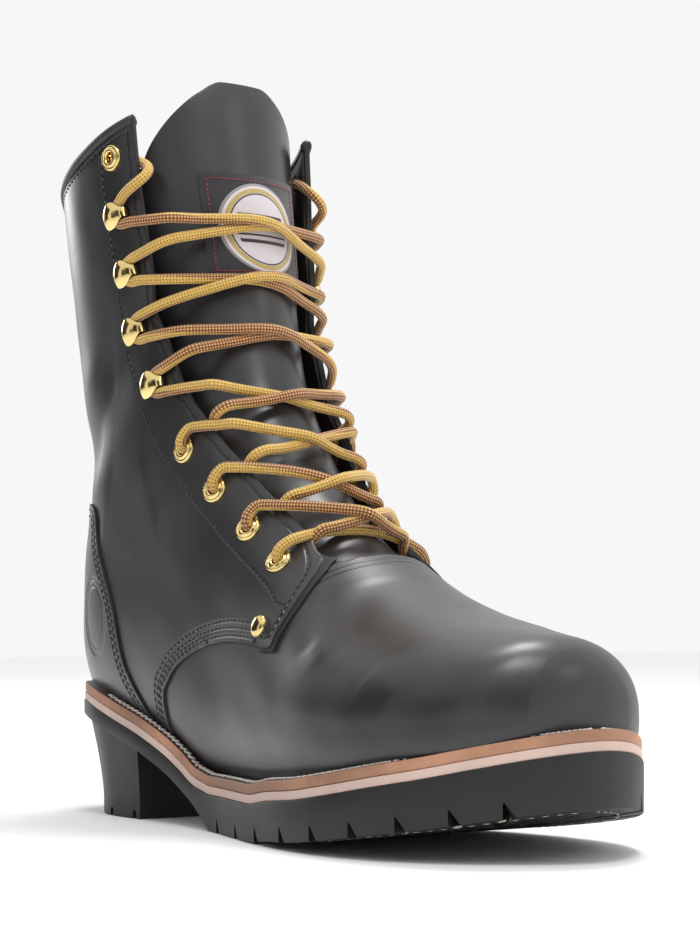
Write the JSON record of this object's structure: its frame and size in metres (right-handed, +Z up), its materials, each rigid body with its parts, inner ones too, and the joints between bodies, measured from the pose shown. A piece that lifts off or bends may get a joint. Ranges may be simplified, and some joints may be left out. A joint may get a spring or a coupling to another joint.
{
  "type": "logger boot",
  "caption": "Right lace-up logger boot with a tall undercut heel, lugged sole, welt, tongue, brass eyelets and lacing hooks.",
  "frame": {"origin": "middle of the heel's flat bottom, on the floor", "axes": "+Z up, toe towards -Y, lateral side of this right boot towards -X"},
  "size_m": [0.111, 0.3189, 0.2873],
  "materials": {
    "upper_leather": "smooth oiled full-grain leather, satin",
    "lining_leather": "matte lining leather",
    "sole_rubber": "matte black moulded rubber",
    "midsole_strip": "pale trimmed midsole edge",
    "welt_leather": "tan trimmed welt edge with a dark brown top",
    "label_cloth": "woven label",
    "lace_braid": "round braided cord, golden yellow and rust brown",
    "polished_brass": "polished brass"
  },
  "bodies": {
    "root": {"outsole": "sole_rubber", "heel": "sole_rubber", "midsole": "midsole_strip", "welt": "welt_leather", "insole": "lining_leather", "upper": "upper_leather", "tongue": "upper_leather", "tongue_label": "label_cloth", "eyelet_1_lateral": "polished_brass", "eyelet_1_medial": "polished_brass", "eyelet_2_lateral": "polished_brass", "eyelet_2_medial": "polished_brass", "eyelet_3_lateral": "polished_brass", "eyelet_3_medial": "polished_brass", "eyelet_4_lateral": "polished_brass", "eyelet_4_medial": "polished_brass", "eyelet_top_lateral": "polished_brass", "eyelet_top_medial": "polished_brass", "lace_hook_1_lateral": "polished_brass", "lace_hook_1_medial": "polished_brass", "lace_hook_2_lateral": "polished_brass", "lace_hook_2_medial": "polished_brass", "lace_hook_3_lateral": "polished_brass", "lace_hook_3_medial": "polished_brass", "lace_hook_4_lateral": "polished_brass", "lace_hook_4_medial": "polished_brass", "rivet_lateral": "polished_brass", "rivet_medial": "polished_brass", "lace_bar": "lace_braid", "lace_crossing_1": "lace_braid", "lace_crossing_2": "lace_braid", "lace_crossing_3": "lace_braid", "lace_crossing_4": "lace_braid", "lace_crossing_5": "lace_braid", "lace_crossing_6": "lace_braid", "lace_crossing_7": "lace_braid", "lace_end_lateral": "lace_braid", "lace_end_medial": "lace_braid", "sole_screw_1": "polished_brass", "sole_screw_2": "polished_brass", "sole_screw_3": "polished_brass", "sole_screw_4": "polished_brass", "sole_screw_5": "polished_brass", "sole_screw_6": "polished_brass", "sole_screw_7": "polished_brass", "sole_screw_8": "polished_brass", "sole_screw_9": "polished_brass"}
  },
  "joints": []
}
